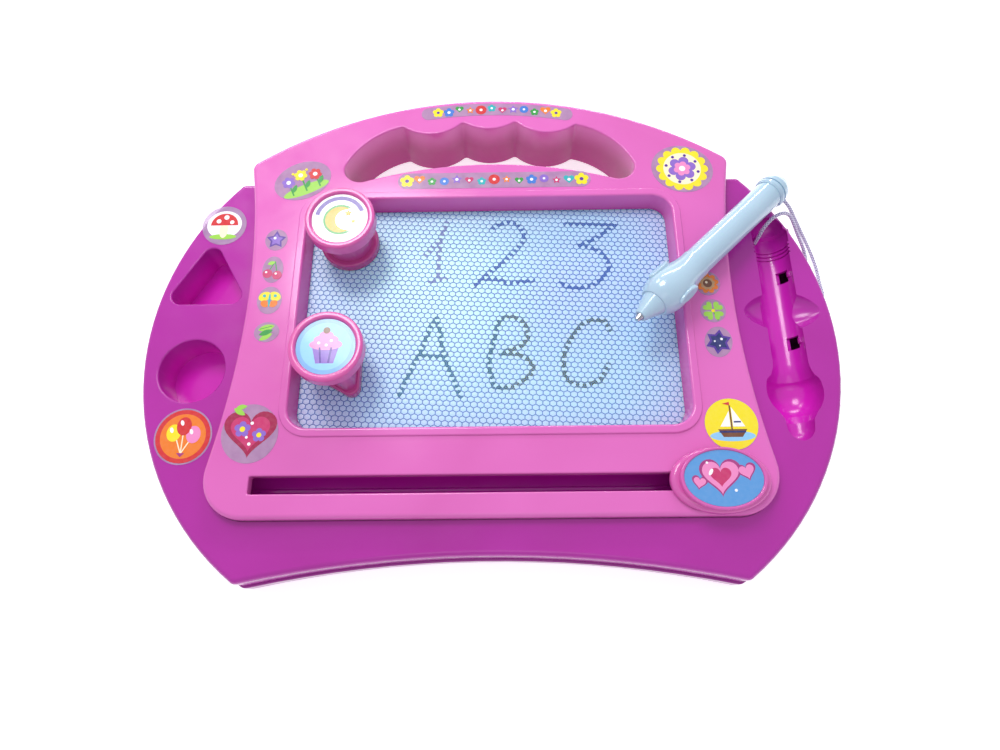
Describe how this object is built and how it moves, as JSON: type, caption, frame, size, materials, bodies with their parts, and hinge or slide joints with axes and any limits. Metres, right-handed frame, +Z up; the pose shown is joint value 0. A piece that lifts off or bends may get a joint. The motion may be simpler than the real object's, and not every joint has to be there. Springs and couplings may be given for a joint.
{
  "type": "magnetic drawing board",
  "caption": "Wide tray with a raised handled frame round a honeycomb magnetic screen, an eraser bar on a sliding knob, two disc-topped stamps and a tethered pen.",
  "frame": {"origin": "middle of the board's footprint on the table", "axes": "+X to the right of the user, +Y away from the user towards the handle, +Z up"},
  "size_m": [0.4004, 0.293, 0.0587],
  "materials": {
    "tray_plastic": "glossy moulded plastic",
    "shell_plastic": "glossy moulded plastic",
    "frame_plastic": "glossy moulded plastic",
    "screen_film": "smooth pale film over honeycomb",
    "core_fluid": "opaque pale fluid in cells",
    "back_film": "smooth film",
    "seal": "sealant",
    "retainer_plastic": "plain moulded plastic",
    "screw_steel": "zinc plated",
    "paper_label": "printed glossy sticker",
    "knob_plastic": "glossy moulded plastic",
    "blue_label": "printed glossy sticker",
    "carriage_plastic": "plain moulded plastic",
    "magnet_rubber": "flexible magnet",
    "stamp_plastic": "glossy moulded plastic",
    "white_label": "printed glossy sticker",
    "pen_plastic": "glossy moulded plastic",
    "tip_steel": "polished",
    "cord_fabric": "braided"
  },
  "bodies": {
    "board": {"lower_shell": "shell_plastic", "base_tray": "tray_plastic", "top_frame": "frame_plastic", "screen_front_sheet": "screen_film", "honeycomb_core": "core_fluid", "screen_back_sheet": "back_film", "core_seal_rim": "seal", "screen_retainer": "retainer_plastic", "case_screws": "screw_steel", "frame_screws": "screw_steel", "retainer_screws": "screw_steel", "frame_labels": "paper_label", "tray_labels": "paper_label", "anchor_knot": "cord_fabric"},
    "eraser": {"slider_knob": "knob_plastic", "knob_label": "blue_label", "knob_screw": "screw_steel", "eraser_carriage": "carriage_plastic", "eraser_magnet_strip": "magnet_rubber"},
    "round_stamp": {"round_stamp_body": "stamp_plastic", "round_stamp_label": "white_label", "round_stamp_magnet": "magnet_rubber"},
    "triangle_stamp": {"triangle_stamp_body": "stamp_plastic", "triangle_stamp_label": "white_label", "triangle_stamp_magnet": "magnet_rubber"},
    "pen": {"pen_tip_magnet": "tip_steel", "pen_nose": "pen_plastic", "pen_grip": "pen_plastic", "pen_barrel": "pen_plastic", "pen_end_cap": "pen_plastic", "pen_cord_knot": "cord_fabric", "tether_cord": "cord_fabric"}
  },
  "joints": [
    {"name": "eraser_slide", "type": "slide", "parent": "board", "child": "eraser", "axis": [1, 0, 0], "range_m": [-0.233, 0]},
    {"name": "round_stamp_lift", "type": "slide", "parent": "board", "child": "round_stamp", "axis": [0, 0, 1], "range_m": [0, 0.06]},
    {"name": "triangle_stamp_lift", "type": "slide", "parent": "board", "child": "triangle_stamp", "axis": [0, 0, 1], "range_m": [0, 0.06]},
    {"name": "pen_lift", "type": "slide", "parent": "board", "child": "pen", "axis": [0, 0, 1], "range_m": [0, 0.06]}
  ]
}
